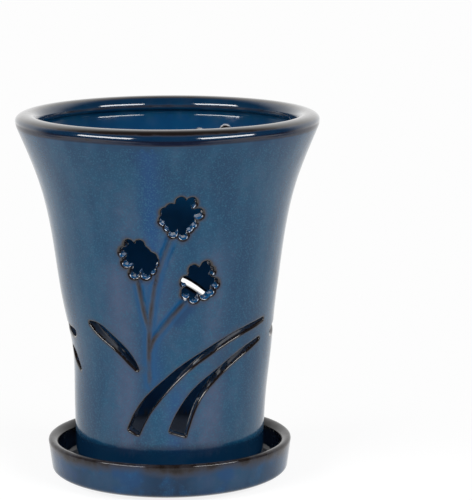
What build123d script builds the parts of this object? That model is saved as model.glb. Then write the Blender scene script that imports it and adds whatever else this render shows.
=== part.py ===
from build123d import *
import os
from math import atan2, cos, radians, sin

# Glazed orchid pot with cut-out flower sprays, standing loose in its saucer.
# Millimetres, +Z up, origin in the middle of the saucer's underside, front of the pot towards -Y.
# A place on the pot's wall is an angle from the front, positive to the right, and a share of the wall's rise.

# Overall sizes
RIM_DIAMETER = 155.0
TOTAL_HEIGHT = 190.0
SAUCER_DIAMETER = 126.0
SAUCER_HEIGHT = 21.0

# Pot: wall, rolled lip, floor, foot ring and drain
WALL = 6.0
FOOT_DIAMETER = 96.6
FOOT_ROUNDING = 2.0
LIP_THICKNESS = 11.8
LIP_HEIGHT = 8.2
LIP_OVERHANG = 1.2
LIP_CROWN = 3.4
POT_FLOOR = 8.0
FLOOR_ROUNDING = 6.0
FOOT_RING_WIDTH = 9.0
FOOT_RING_HEIGHT = 2.5
DRAIN_DIAMETER = 20.0
FOOT_NOTCHES = 3
FOOT_NOTCH_WIDTH = 9.0
FOOT_NOTCH_HEIGHT = 2.0

# The wall's outline between foot and neck: share of its rise, share of its flare
WALL_CURVE = [(0.194, 0.041), (0.364, 0.114), (0.535, 0.271), (0.705, 0.422), (0.853, 0.639)]
# Outward lean of the wall at the foot and at the neck, in degrees
FOOT_LEAN = 2.0
NECK_LEAN = 23.0

# Saucer: wall, floor and foot ring
SAUCER_WALL = 5.6
SAUCER_FLOOR = 6.0
SAUCER_TAPER = 1.8
SAUCER_EDGE_WIDTH = 13.4
SAUCER_EDGE_HEIGHT = 4.5
SAUCER_FLOOR_ROUNDING = 4.0
SAUCER_FOOT_HEIGHT = 1.6
SAUCER_FOOT_STEP = 2.4
SAUCER_FOOT_WIDTH = 10.0

# Flower holes: each petal's direction in degrees from the right, and its share of the longest reach
FLOWER_REACH = 12.0
FLOWER_CORE_RADIUS = 6.6
PETAL_RADIUS = 2.3
LEFT_PETALS = [(2, 0.74), (84, 0.74), (125, 0.87), (161, 0.86), (198, 0.76), (251, 0.89), (293, 0.91),
               (320, 0.86), (346, 0.82)]
TOP_PETALS = [(8, 0.95), (54, 0.95), (88, 0.83), (137, 0.70), (164, 0.82), (192, 0.87), (221, 0.80),
              (246, 0.90), (280, 0.98), (306, 0.76), (331, 0.77)]
RIGHT_PETALS = [(42, 0.77), (68, 0.87), (119, 0.75), (179, 0.78), (219, 0.93), (251, 0.92), (292, 0.80),
                (318, 0.82), (348, 0.85)]
REAR_PETALS = [(5, 0.85), (60, 1.00), (155, 0.80), (200, 0.90), (240, 0.85), (280, 0.95), (320, 0.85)]
MIRRORED_PETALS = [(180 - direction, reach) for direction, reach in REAR_PETALS]

# Where the flowers sit: angle, share of the wall's rise, petals
FRONT_FLOWERS = [(-14.5, 0.676, LEFT_PETALS), (5.3, 0.797, TOP_PETALS), (15.5, 0.607, RIGHT_PETALS)]
REAR_FLOWERS = [(127.0, 0.768, LEFT_PETALS), (148.6, 0.888, REAR_PETALS), (169.4, 0.874, MIRRORED_PETALS)]
SIDE_FLOWERS = [(-140.0, 0.642, LEFT_PETALS), (-120.2, 0.763, TOP_PETALS), (-110.0, 0.573, RIGHT_PETALS)]

# Leaf slots along each leaf's middle line: angle, share of the wall's rise, share of the full slot width
LEAF_WIDTH = 10.0
SHORT_LEAF = [(-48.6, 0.469, 0.16), (-43.4, 0.457, 0.54), (-35.5, 0.429, 0.59), (-28.0, 0.396, 0.49),
              (-22.5, 0.362, 0.32), (-19.6, 0.342, 0.12)]
UPPER_BLADE = [(-22.2, 0.157, 0.66), (-19.2, 0.191, 0.67), (-12.8, 0.246, 0.64), (-5.0, 0.292, 0.52),
               (6.0, 0.346, 0.39), (19.0, 0.391, 0.30), (36.5, 0.435, 0.26), (50.0, 0.454, 0.23),
               (61.5, 0.465, 0.16)]
LOWER_BLADE = [(4.4, 0.156, 0.92), (6.6, 0.190, 0.86), (10.4, 0.235, 0.72), (15.6, 0.278, 0.56),
               (23.4, 0.317, 0.40), (32.8, 0.353, 0.30), (45.0, 0.387, 0.28), (58.0, 0.411, 0.14)]
LEFT_LEAF = [(-90.0, 0.425, 0.14), (-84.0, 0.423, 0.42), (-76.0, 0.420, 0.47), (-69.0, 0.420, 0.42),
             (-66.0, 0.424, 0.20)]
SIDE_LEAF = [(-82.0, 0.366, 0.14), (-78.0, 0.356, 0.46), (-72.0, 0.335, 0.46), (-66.0, 0.311, 0.12)]
RIGHT_LEAF = [(73.0, 0.408, 0.18), (77.0, 0.411, 0.42), (85.0, 0.418, 0.50), (93.0, 0.424, 0.42),
              (100.0, 0.429, 0.14)]

# Each leaf slot with its turn round the pot in degrees and its lift as a share of the wall's rise
LEAF_PLACES = [(SHORT_LEAF, 0.0, 0.0), (UPPER_BLADE, 0.0, 0.0), (LOWER_BLADE, 0.0, 0.0),
               (LEFT_LEAF, 0.0, 0.0), (SIDE_LEAF, 0.0, 0.0), (RIGHT_LEAF, 0.0, 0.0),
               (LOWER_BLADE, 127.0, 0.104), (SHORT_LEAF, 239.0, 0.020), (LOWER_BLADE, -152.0, -0.050)]

# How far a cutter stands clear of the wall on either side
CUT_CLEARANCE = 3.0

# The pot stands on the saucer's floor, and its lip's crest is the top of the whole
foot_z = SAUCER_FLOOR
foot_radius = FOOT_DIAMETER / 2
neck_z = TOTAL_HEIGHT - LIP_HEIGHT
neck_radius = RIM_DIAMETER / 2 - LIP_OVERHANG
rise = neck_z - foot_z
flare = neck_radius - foot_radius


def up_the_wall(lean):
    """Direction up a wall that leans out by some degrees, as radius and height."""
    return (sin(radians(lean)), cos(radians(lean)))


def wall_line(start, inset):
    """Outline of the wall from a start point up to the neck, moved in by an inset."""
    points = [(foot_radius + flare * out - inset, foot_z + rise * up) for up, out in WALL_CURVE]
    neck = (neck_radius - inset, neck_z)
    return Spline(start, *points, neck, tangents=[up_the_wall(FOOT_LEAN), up_the_wall(NECK_LEAN)])


outer_line = wall_line((foot_radius, foot_z + FOOT_ROUNDING), 0.0)


def wall_radius(z):
    """Radius of the wall's outer face at a height in the model."""
    low, high = 0.0, 1.0
    for _ in range(30):
        middle = (low + high) / 2
        if (outer_line @ middle).Y < z:
            low = middle
        else:
            high = middle
    return (outer_line @ low).X


def wall_place(angle, share):
    """Point on the wall's outer face, the direction round the pot there, and the outward normal."""
    z = foot_z + share * rise
    probe = rise / 400
    lean = atan2(wall_radius(z + probe) - wall_radius(z - probe), 2 * probe)
    a = radians(angle)
    radius = wall_radius(z)
    point = Vector(radius * sin(a), -radius * cos(a), z)
    around = Vector(cos(a), sin(a), 0)
    normal = Vector(sin(a) * cos(lean), -cos(a) * cos(lean), -sin(lean))
    return point, around, normal


def turned(*outline):
    """Solid of revolution about Z from a closed outline of radius and height."""
    return revolve(Plane.XZ * make_face(list(outline)), Axis.Z)


def pot_blank():
    """The thrown pot before anything is cut: wall, rolled lip, floor and foot ring."""
    outer_r = RIM_DIAMETER / 2
    inner_r = outer_r - LIP_THICKNESS
    widest_z = TOTAL_HEIGHT - LIP_CROWN
    floor_z = foot_z + POT_FLOOR
    recess_z = foot_z + FOOT_RING_HEIGHT
    ring_r = foot_radius - FOOT_RING_WIDTH
    drain_r = DRAIN_DIAMETER / 2
    inside_start = (wall_radius(floor_z + FLOOR_ROUNDING) - WALL, floor_z + FLOOR_ROUNDING)
    floor_end = (inside_start[0] - FLOOR_ROUNDING, floor_z)
    inside_neck = (neck_radius - WALL, neck_z)
    sole_end = (foot_radius - FOOT_ROUNDING, foot_z)

    lip_outside = TangentArc(outer_line @ 1, (outer_r, widest_z), tangent=up_the_wall(NECK_LEAN))
    crest = (outer_r - LIP_THICKNESS / 2, widest_z)
    lip_crown = EllipticalCenterArc(crest, LIP_THICKNESS / 2, LIP_CROWN, start_angle=0, arc_size=180)
    lip_inside = TangentArc((inner_r, widest_z), inside_neck, tangent=(0, -1))
    floor_bend = TangentArc(floor_end, inside_start, tangent=(1, 0))
    foot_bend = TangentArc(sole_end, outer_line @ 0, tangent=(1, 0))
    floor_and_foot = Polyline(floor_end, (drain_r, floor_z), (drain_r, recess_z), (ring_r, recess_z),
                              (ring_r, foot_z), sole_end)
    return turned(outer_line, lip_outside, lip_crown, lip_inside, wall_line(inside_start, WALL), floor_bend,
                  floor_and_foot, foot_bend)


def flower_cutter(angle, share, petals):
    """Prism through the wall, square to it, with a round middle and round petals."""
    point, around, normal = wall_place(angle, share)
    outline = Circle(FLOWER_CORE_RADIUS)
    for direction, reach in petals:
        length = reach * FLOWER_REACH - PETAL_RADIUS
        petal = Pos(length / 2, 0) * Rectangle(length, 2 * PETAL_RADIUS) + Pos(length, 0) * Circle(PETAL_RADIUS)
        outline += Rot(0, 0, direction) * petal
    inward = WALL + 2 * CUT_CLEARANCE
    plane = Plane(origin=point - normal * inward, x_dir=around, z_dir=normal)
    return extrude(plane * outline, amount=inward + 2 * CUT_CLEARANCE)


def leaf_cutter(leaf, turn, lift):
    """Tapering blade lofted along the wall, square to it all the way."""
    places = [wall_place(angle + turn, share + lift) for angle, share, width in leaf]
    sections = []
    for i, (point, around, normal) in enumerate(places):
        along = places[min(i + 1, len(places) - 1)][0] - places[max(i - 1, 0)][0]
        along = (along - normal * along.dot(normal)).normalized()
        plane = Plane(origin=point - normal * (WALL / 2), x_dir=normal, z_dir=along)
        sections.append(plane * Rectangle(WALL + 2 * CUT_CLEARANCE, leaf[i][2] * LEAF_WIDTH))
    return loft(sections)


def notch_cutter(number):
    """Box across the foot ring, so that drained water reaches the saucer."""
    length = FOOT_RING_WIDTH + 2 * CUT_CLEARANCE
    box = Box(length, FOOT_NOTCH_WIDTH, 2 * FOOT_NOTCH_HEIGHT)
    placed = Pos(foot_radius - FOOT_RING_WIDTH / 2, 0, foot_z) * box
    return Rot(0, 0, 360 * number / FOOT_NOTCHES) * placed


def make_pot():
    """Pot with its flower holes, leaf slots and foot notches cut."""
    cutters = [flower_cutter(*flower) for flower in FRONT_FLOWERS + REAR_FLOWERS + SIDE_FLOWERS]
    cutters += [leaf_cutter(*place) for place in LEAF_PLACES]
    cutters += [notch_cutter(number) for number in range(FOOT_NOTCHES)]
    return pot_blank() - cutters


def make_saucer():
    """Round dish with a rounded rim, a rounded lower edge and a foot ring."""
    rim_r = SAUCER_DIAMETER / 2
    rim_bend = SAUCER_WALL / 2
    bend_z = SAUCER_HEIGHT - rim_bend
    side_r = rim_r - SAUCER_TAPER
    side_z = SAUCER_FOOT_HEIGHT + SAUCER_EDGE_HEIGHT
    base_r = side_r - SAUCER_EDGE_WIDTH
    foot_outer_r = base_r - SAUCER_FOOT_STEP
    foot_inner_r = foot_outer_r - SAUCER_FOOT_WIDTH
    inner_r = rim_r - SAUCER_WALL
    floor_bend_z = SAUCER_FLOOR + SAUCER_FLOOR_ROUNDING
    floor_end = (inner_r - SAUCER_FLOOR_ROUNDING, SAUCER_FLOOR)
    underside = Polyline(floor_end, (0, SAUCER_FLOOR), (0, SAUCER_FOOT_HEIGHT), (foot_inner_r, SAUCER_FOOT_HEIGHT),
                         (foot_inner_r, 0), (foot_outer_r, 0), (foot_outer_r, SAUCER_FOOT_HEIGHT),
                         (base_r, SAUCER_FOOT_HEIGHT))
    lower_edge = EllipticalCenterArc((base_r, side_z), SAUCER_EDGE_WIDTH, SAUCER_EDGE_HEIGHT, start_angle=270,
                                     arc_size=90)
    side = Line((side_r, side_z), (rim_r, bend_z))
    rim = CenterArc((rim_r - rim_bend, bend_z), rim_bend, 0, 180)
    inside = Line((inner_r, bend_z), (inner_r, floor_bend_z))
    floor_bend = RadiusArc((inner_r, floor_bend_z), floor_end, SAUCER_FLOOR_ROUNDING)
    return turned(underside, lower_edge, side, rim, inside, floor_bend)


os.makedirs("parts", exist_ok=True)
export_step(make_pot(), "parts/pot.step")
export_step(make_saucer(), "parts/saucer.step")
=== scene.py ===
from math import cos, pi, radians, sin, tan

import bmesh
import bpy
import numpy as np
from mathutils import Matrix, Vector
from mathutils.geometry import delaunay_2d_cdt


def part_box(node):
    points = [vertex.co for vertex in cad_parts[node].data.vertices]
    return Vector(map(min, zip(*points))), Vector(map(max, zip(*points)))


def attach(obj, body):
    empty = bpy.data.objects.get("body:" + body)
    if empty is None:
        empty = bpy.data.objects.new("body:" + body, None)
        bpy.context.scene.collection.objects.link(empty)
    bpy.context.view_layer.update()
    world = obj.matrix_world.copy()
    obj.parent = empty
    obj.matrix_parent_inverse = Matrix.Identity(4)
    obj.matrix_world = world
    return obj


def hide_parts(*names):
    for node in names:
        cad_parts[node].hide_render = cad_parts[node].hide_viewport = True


# Glazed orchid pot with cut-out flower sprays, standing loose in its saucer.
# Shapes are worked out in millimetres and become metres where a mesh is made.
# A place on the pot's wall is an angle from the front, positive to the right, and a height.

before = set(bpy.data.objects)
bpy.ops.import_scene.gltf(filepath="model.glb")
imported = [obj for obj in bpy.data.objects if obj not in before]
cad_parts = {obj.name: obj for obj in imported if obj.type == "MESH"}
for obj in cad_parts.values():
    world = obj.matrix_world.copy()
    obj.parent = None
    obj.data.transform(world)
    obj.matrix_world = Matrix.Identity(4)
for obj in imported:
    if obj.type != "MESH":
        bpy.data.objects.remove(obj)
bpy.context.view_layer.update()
MM = 0.001

# Pot: sizes from the frame, and what the frame does not say
pot_low, pot_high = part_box("pot")
FOOT_Z = pot_low.z / MM
TOP_Z = pot_high.z / MM
RIM_RADIUS = pot_high.x / MM
FOOT_RADIUS = 48.3
WALL = 6.0
LIP_THICKNESS = 11.8
LIP_HEIGHT = 8.2
LIP_OVERHANG = 1.2
LIP_CROWN = 3.4
LIP_ROLL = 4.8
LIP_ROLL_DROP = 3.4
LIP_UNDERCUT = (3.6, 2.8)
# The lip's face ends in a bend below: the bend's height, how far it stands in, and the face's least height
LIP_BEND_Z = 184.6
LIP_FACE_SLANT = 0.25
LIP_FACE_LEAST = 0.6
# How the face starts above its bend: sideways for each step up, away from the front and at the front
LIP_FACE_LEANS = (0.2, 0.05)
# The lip sags at the front: how far at its bend and at its widest place, and the sag's middle and spreads
# in degrees
BEND_SAG = 1.3
WIDEST_SAG = 1.5
LIP_SAG_ANGLE = 1.5
BEND_SAG_SPREAD = 18.0
WIDEST_SAG_SPREAD = 42.0
POT_FLOOR = 8.0
FLOOR_ROUNDING = 6.0
FLOOR_EASE = 1.0
FOOT_ROUNDING = 2.0
FOOT_RING_WIDTH = 9.0
FOOT_RING_HEIGHT = 2.5
FOOT_RING_EDGES = (0.5, 0.4)
DRAIN_RADIUS = 10.0
DRAIN_ROUNDING = 1.6
FOOT_NOTCHES = 3
FOOT_NOTCH_WIDTH = 9.0
FOOT_NOTCH_HEIGHT = 2.0
FOOT_NOTCH_EDGE = 0.8

# The wall's outline between foot and neck: share of its rise, share of its flare
WALL_CURVE = [(0.194, 0.041), (0.364, 0.114), (0.535, 0.271), (0.705, 0.422), (0.853, 0.639)]
FOOT_LEAN = radians(2.0)
NECK_LEAN = radians(23.0)

# Saucer: sizes from the frame, and what the frame does not say
_, saucer_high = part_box("saucer")
SAUCER_RADIUS = saucer_high.x / MM
SAUCER_HEIGHT = saucer_high.z / MM
SAUCER_WALL = 5.6
SAUCER_FLOOR = 6.0
SAUCER_TAPER = 1.8
SAUCER_EDGE_WIDTH = 13.4
SAUCER_EDGE_HEIGHT = 4.5
SAUCER_RIM_ROUNDING = 1.4
SAUCER_RIM_DROP = 3.4
SAUCER_FLOOR_ROUNDING = 4.0
SAUCER_FOOT_HEIGHT = 1.6
SAUCER_FOOT_STEP = 2.4
SAUCER_FOOT_WIDTH = 10.0
SAUCER_FOOT_EDGE = 0.5
SAUCER_TURN_STEPS = 256
SAUCER_PROFILE_STEPS = 170

# Flower holes: each petal's direction in degrees from the right, and its share of the longest reach
FLOWER_REACH = 12.0
FLOWER_CORE_RADIUS = 6.6
PETAL_RADIUS = 2.3
LEFT_PETALS = [(2, 0.74), (84, 0.74), (125, 0.87), (161, 0.86), (198, 0.76), (251, 0.89), (293, 0.91),
               (320, 0.86), (346, 0.82)]
TOP_PETALS = [(8, 0.95), (54, 0.95), (88, 0.83), (137, 0.70), (164, 0.82), (192, 0.87), (221, 0.80),
              (246, 0.90), (280, 0.98), (306, 0.76), (331, 0.77)]
RIGHT_PETALS = [(42, 0.77), (68, 0.87), (119, 0.75), (179, 0.78), (219, 0.93), (251, 0.92), (292, 0.80),
                (318, 0.82), (348, 0.85)]
REAR_PETALS = [(5, 0.85), (60, 1.00), (155, 0.80), (200, 0.90), (240, 0.85), (280, 0.95), (320, 0.85)]
MIRRORED_PETALS = [(180 - direction, reach) for direction, reach in REAR_PETALS]

# Where the flowers sit: angle in degrees, share of the wall's rise, petals
FLOWERS = [(-14.5, 0.676, LEFT_PETALS), (5.3, 0.797, TOP_PETALS), (15.5, 0.607, RIGHT_PETALS),
           (127.0, 0.768, LEFT_PETALS), (148.6, 0.888, REAR_PETALS), (169.4, 0.874, MIRRORED_PETALS),
           (-140.0, 0.642, LEFT_PETALS), (-120.2, 0.763, TOP_PETALS), (-110.0, 0.573, RIGHT_PETALS)]

# Leaf slots along each leaf's middle line: angle, share of the wall's rise, share of the full slot width
LEAF_WIDTH = 10.0
LEAF_TIP_WIDTH = 0.8
SHORT_LEAF = [(-48.6, 0.469, 0.16), (-43.4, 0.457, 0.54), (-35.5, 0.429, 0.59), (-28.0, 0.396, 0.49),
              (-22.5, 0.362, 0.32), (-19.6, 0.342, 0.12)]
UPPER_BLADE = [(-22.2, 0.157, 0.66), (-19.2, 0.191, 0.67), (-12.8, 0.246, 0.64), (-5.0, 0.292, 0.52),
               (6.0, 0.346, 0.39), (19.0, 0.391, 0.30), (36.5, 0.435, 0.26), (50.0, 0.454, 0.23),
               (61.5, 0.465, 0.16)]
LOWER_BLADE = [(4.4, 0.156, 0.92), (6.6, 0.190, 0.86), (10.4, 0.235, 0.72), (15.6, 0.278, 0.56),
               (23.4, 0.317, 0.40), (32.8, 0.353, 0.30), (45.0, 0.387, 0.28), (58.0, 0.411, 0.14)]
LEFT_LEAF = [(-90.0, 0.425, 0.14), (-84.0, 0.423, 0.42), (-76.0, 0.420, 0.47), (-69.0, 0.420, 0.42),
             (-66.0, 0.424, 0.20)]
SIDE_LEAF = [(-82.0, 0.366, 0.14), (-78.0, 0.356, 0.46), (-72.0, 0.335, 0.46), (-66.0, 0.311, 0.12)]
RIGHT_LEAF = [(73.0, 0.408, 0.18), (77.0, 0.411, 0.42), (85.0, 0.418, 0.50), (93.0, 0.424, 0.42),
              (100.0, 0.429, 0.14)]

# Each leaf slot with its turn round the pot in degrees and its lift as a share of the wall's rise
LEAF_PLACES = [(SHORT_LEAF, 0.0, 0.0), (UPPER_BLADE, 0.0, 0.0), (LOWER_BLADE, 0.0, 0.0),
               (LEFT_LEAF, 0.0, 0.0), (SIDE_LEAF, 0.0, 0.0), (RIGHT_LEAF, 0.0, 0.0),
               (LOWER_BLADE, 127.0, 0.104), (SHORT_LEAF, 239.0, 0.020), (LOWER_BLADE, -152.0, -0.050)]

# Stems: angle and share of the wall's rise along each ridge
MAIN_STEM = [(1.1, 0.735), (-4.0, 0.657), (-6.3, 0.610), (-9.4, 0.513), (-11.6, 0.435), (-12.8, 0.360),
             (-12.5, 0.301)]
LEFT_STEM = [(-15.4, 0.614), (-14.0, 0.562), (-12.4, 0.505), (-10.9, 0.465)]
RIGHT_STEM = [(7.8, 0.547), (0.2, 0.498), (-5.3, 0.462), (-9.4, 0.434), (-12.1, 0.402)]
FRONT_STEMS = (MAIN_STEM, LEFT_STEM, RIGHT_STEM)
REAR_STEMS = ([(148.2, 0.824), (148.8, 0.740), (149.6, 0.640), (150.8, 0.560), (152.0, 0.486)],
              [(130.5, 0.712), (137.0, 0.660), (144.5, 0.610), (149.0, 0.575)],
              [(166.5, 0.812), (160.0, 0.738), (154.0, 0.665), (150.6, 0.600)])
# The stems of each spray with their turn round the pot and their lift: front, side and rear
STEM_PLACES = [(FRONT_STEMS, 0.0, 0.0), (FRONT_STEMS, -125.5, -0.034), (REAR_STEMS, 0.0, 0.0)]
STEM_HEIGHT = 0.65
STEM_HALF_WIDTH = 1.2
STEM_GROOVE = 0.15
STEM_REACH = 4.2
# Across a stem, in half widths, where its crest falls away and where the groove beside it begins,
# and the share of its reach from which the groove fades out
STEM_CREST = (0.35, 1.5)
STEM_BESIDE = (0.8, 1.6)
STEM_FADE = 0.55

# Glaze run together beside the right-hand stem: angle and share of the wall's rise at both ends
POOL_PATCH = [(11.0, 0.538), (4.0, 0.492)]
POOL_REACH = 2.6
PATCH_POOL = 0.35
PATCH_DARK = 0.7

# Runs of glaze down the wall: middle angle and spread in degrees, foot and top as shares of its rise,
# and strength. The two strongest grey runs, low on the front, are a painted sheen of the soft boxes
GREY_RUNS_AND_SHEEN = [(-26.0, 8.0, 0.05, 0.60, 1.0), (24.0, 8.0, 0.02, 0.28, 1.0), (-6.0, 9.0, 0.48, 0.70, 0.6),
             (10.0, 9.0, 0.05, 0.22, 0.6), (24.0, 8.0, 0.42, 0.66, 0.5), (-20.0, 7.0, 0.72, 0.80, 0.4),
             (110.0, 9.0, 0.05, 0.5, 0.6), (-150.0, 9.0, 0.05, 0.6, 0.6), (190.0, 8.0, 0.1, 0.7, 0.6)]
BLUE_RUNS = [(-7.5, 4.5, 0.60, 0.98, 0.9), (4.0, 6.0, 0.10, 0.25, 0.8), (-10.0, 5.0, 0.32, 0.44, 0.7),
             (142.0, 5.0, 0.6, 1.0, 0.8), (-132.0, 5.0, 0.5, 0.95, 0.8)]
# How far a run fades past both ends, as a share of the rise
RUN_FADE = 0.06

# The wall sank sideways a little at its slots: how far, at what height, and how that fades below and above
SAG = 1.5
SAG_Z = 68.0
SAG_BELOW = 22.0
SAG_ABOVE = 18.0

# Painted shade on the wall's foot in the saucer, below this height, and a little higher up at the front
SHADED_FOOT = 25.6
SHADED_FOOT_RISE = 0.9

# How the glaze lies, and where shade and light are painted, as places and the amount at each.
# Along the lip: the wall's top outside is -2, the bend -1, the widest place 0, the crest 0.5, the inside 1
LIP_THIN = [(-1.6, 0.0), (-1.3, 0.2), (-1.0, 0.75), (-0.6, 0.75), (-0.3, 0.0), (0.12, 0.0), (0.18, 0.75),
            (0.24, 1.0), (0.66, 0.95), (0.74, 0.15), (0.95, 0.1), (0.99, 0.7), (1.02, 0.7), (1.06, 0.0)]
# Darker glaze over the lip, with painted shade over its face below the widest place
LIP_DARK = [(-1.45, 0.0), (-1.2, 1.0), (0.0, 0.8), (0.2, 0.8), (0.9, 0.7), (1.0, 0.4), (1.3, 0.3)]
# Painted shade: a near-black band over the lip's face, below its highlights
LIP_SHADE = [(-1.5, 0.0), (-1.2, 0.9), (-0.1, 0.9), (0.05, 0.0)]
LIP_GLOSS = [(-0.6, 0.0), (-0.2, 0.7), (1.0, 0.7), (1.1, 0.0), (1.25, 0.0), (1.3, 0.5)]
# Under the lip's face the thin line ends here, and shows less in the middle of the sag
LIP_LINE_END = -0.3
LIP_LINE_BREAK = 0.8
# Away from a cut edge: the brown in its own widths, the gloss in roundings, the rest in millimetres
EDGE_BROWN = [(0.0, 1.0), (1.1, 0.95), (1.6, 0.5), (2.6, 0.28), (4.2, 0.0)]
EDGE_GLOSS = [(0.8, 0.6), (1.0, 0.0)]
EDGE_HALO = [(0.0, 0.36), (1.6, 0.3), (3.2, 0.0)]
EDGE_POOL = [(0.0, 1.0), (0.5, 1.0), (0.8, 0.0)]
BROWN_WIDTH = 0.8
BROWN_WIDER_BELOW = 0.45
FLOWER_AROUND = 5.5
INNER_EDGE_THIN = [(0.0, 0.67), (0.46, 1.0), (0.74, 1.0), (2.14, 0.0)]
# Glaze pools where an edge lies this squarely below its cut
POOL_BELOW = [(0.3, 0.0), (0.7, 1.0)]
# The sides of a cut: how thin at leaves and at flowers, how dark and how glossy
SIDE_THIN = (0.5, 0.9)
SIDE_DARK = 0.6
SIDE_GLOSS = 0.6
# Painted shade on the wall's foot, up and down from its top in millimetres, and under the pot
FOOT_SHADE = [(-0.3, 0.85), (0.3, 0.0)]
UNDER_SHADE = 0.8
# Inside the pot, up the wall as shares of its rise: painted light, bright blue and pale, low down,
# blue runs, and darker near the top
INNER_LIGHT = [(0.1, 0.7), (0.45, 0.65), (0.7, 0.4), (0.84, 0.0)]
INNER_PALE_LIGHT = [(0.1, 0.3), (0.45, 0.1), (0.6, 0.0)]
INNER_BLUE_RUNS = 0.45
INNER_DARK_FROM = 0.85
INNER_DARK_TOP = 0.3
# Inside the pot in millimetres, up to the wall's top, and up from the floor, which is paler, partly with
# painted light
INNER_GLOSS = [(-3.0, 0.0), (0.0, 0.5)]
FLOOR_PALE = [(5.0, 1.0), (6.5, 0.3)]

# Rounding of the cut edges in the wall's outer face, at flowers and leaves, and in its inner face
FLOWER_ROUNDING = 1.5
LEAF_ROUNDING = 0.8
INNER_ROUNDING = 1.0

# Mesh spacing: along cut edges, over the plain wall outside and inside, along and across the stems,
# along their ridges, and round the pot
EDGE_STEP = 0.6
WALL_STEP = 2.5
INNER_STEP = 4.5
STEM_STEP = 0.8
STEM_ROWS = 13
RIDGE_STEP = 1.0
TURN_STEPS = 288
# Points along the lip: below its face, over the face, each half of the roll, its underside, its hollow
LIP_STEPS = (11, 7, 17, 7, 9)
# Rings of points round each cut in roundings of its edge: over the rounding, beyond it, and inside the pot
EDGE_TURNS = (18, 36, 54, 72, 90)
OUTER_RINGS = [*(1 - np.cos(np.radians(EDGE_TURNS))), 1.35, 1.8, 2.5]
INNER_RINGS = [0.3, 1.0, 2.2]
# Places through the wall at which each cut's sides have points, and how near its border a sheet has none
CUT_SHARES = (0.0, 0.3, 0.65, 1.0)
BORDER_GAP = 0.4
# A step that is small beside every detail, and those that only join points that fall together
NUDGE = 0.1
TOGETHER = 0.004
FLAT_TOGETHER = 1e-5
# The pot's wall is drawn flat, opened along a line that no cut crosses
OPEN_ANGLE = radians(68.0)
FLAT_RADIUS = 60.0
SHEET_ABOVE_FLOOR = 2.0
SHEET_BELOW_NECK = 0.8

neck_z = TOP_Z - LIP_HEIGHT
neck_radius = RIM_RADIUS - LIP_OVERHANG
rise = neck_z - FOOT_Z
flare = neck_radius - FOOT_RADIUS
sheet_low_z = FOOT_Z + POT_FLOOR + FLOOR_ROUNDING + SHEET_ABOVE_FLOOR
sheet_top_z = neck_z - SHEET_BELOW_NECK
inner_top_z = sheet_top_z - LIP_ROLL_DROP
band_turns = OPEN_ANGLE + np.arange(TURN_STEPS) * 2 * pi / TURN_STEPS


def clamped_spline(knots, values, first_slope, last_slope):
    """Cubic curve through the values, with set slopes at both ends, as a function with its slope."""
    step = np.diff(knots)
    count = len(knots)
    matrix = np.zeros((count, count))
    right = np.zeros(count)
    matrix[0, 0] = matrix[-1, -1] = 1.0
    right[0], right[-1] = first_slope, last_slope
    for i in range(1, count - 1):
        before, after = 1 / step[i - 1], 1 / step[i]
        matrix[i, i - 1:i + 2] = before, 2 * (before + after), after
        climb_before, climb_after = values[i] - values[i - 1], values[i + 1] - values[i]
        right[i] = 3 * (climb_before * before ** 2 + climb_after * after ** 2)
    slopes = np.linalg.solve(matrix, right)

    def curve(at):
        i = np.clip(np.searchsorted(knots, at) - 1, 0, count - 2)
        t = (at - knots[i]) / step[i]
        start, end = slopes[i] * step[i], slopes[i + 1] * step[i]
        climb = values[i + 1] - values[i]
        bend_a, bend_b = start - climb, climb - end
        value = values[i] + climb * t + t * (1 - t) * (bend_a * (1 - t) + bend_b * t)
        slope = climb + (1 - 2 * t) * (bend_a * (1 - t) + bend_b * t) + t * (1 - t) * (bend_b - bend_a)
        return value, slope / step[i]

    return curve


curve_up, curve_out = np.array(WALL_CURVE).T
wall_knots = np.concatenate([[FOOT_Z + FOOT_ROUNDING], FOOT_Z + rise * curve_up, [neck_z]])
wall_values = np.concatenate([[FOOT_RADIUS], FOOT_RADIUS + flare * curve_out, [neck_radius]])
wall_curve = clamped_spline(wall_knots, wall_values, tan(FOOT_LEAN), tan(NECK_LEAN))


def wall_points(angle, z, depth):
    """Points under the wall's outer face, going in square to it, in millimetres."""
    radius, slope = wall_curve(z)
    lean = np.arctan(slope)
    inner = radius - depth * np.cos(lean)
    return np.column_stack([inner * np.sin(angle), -inner * np.cos(angle), z + depth * np.sin(lean)])


def wall_depth(z):
    """Thickness of the wall square to its face."""
    return WALL * np.cos(np.arctan(wall_curve(z)[1]))


def inner_face(z):
    """Radius and height on the inner face, square in from a height on the outer one, and the way down."""
    radius, slope = wall_curve(z)
    lean = np.arctan(slope)
    depth = wall_depth(z)
    return (radius - depth * cos(lean), z + depth * sin(lean)), (-sin(lean), -cos(lean))


def wrapped(angle):
    """An angle brought to within half a turn of zero."""
    return (angle + pi) % (2 * pi) - pi


def bell(away):
    """1 in the middle, fading smoothly to both sides."""
    return np.exp(-away ** 2)


def read_off(table, at):
    """Amounts at any places, from a table of places and amounts."""
    places, amounts = zip(*table)
    return np.interp(at, places, amounts)


def along_line(points, step):
    """Evenly spaced points on a smooth curve through given points of any dimension."""
    points = np.asarray(points, float)
    spans = np.sqrt((np.diff(points, axis=0)[:, :2] ** 2).sum(1))
    knots = np.concatenate([[0], np.cumsum(spans)])
    count = max(int(round(knots[-1] / step)), 2)
    at = np.linspace(0, knots[-1], count + 1)
    columns = []
    for column in points.T:
        first = (column[1] - column[0]) / spans[0]
        last = (column[-1] - column[-2]) / spans[-1]
        columns.append(clamped_spline(knots, column, first, last)(at)[0])
    return np.column_stack(columns)


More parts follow.
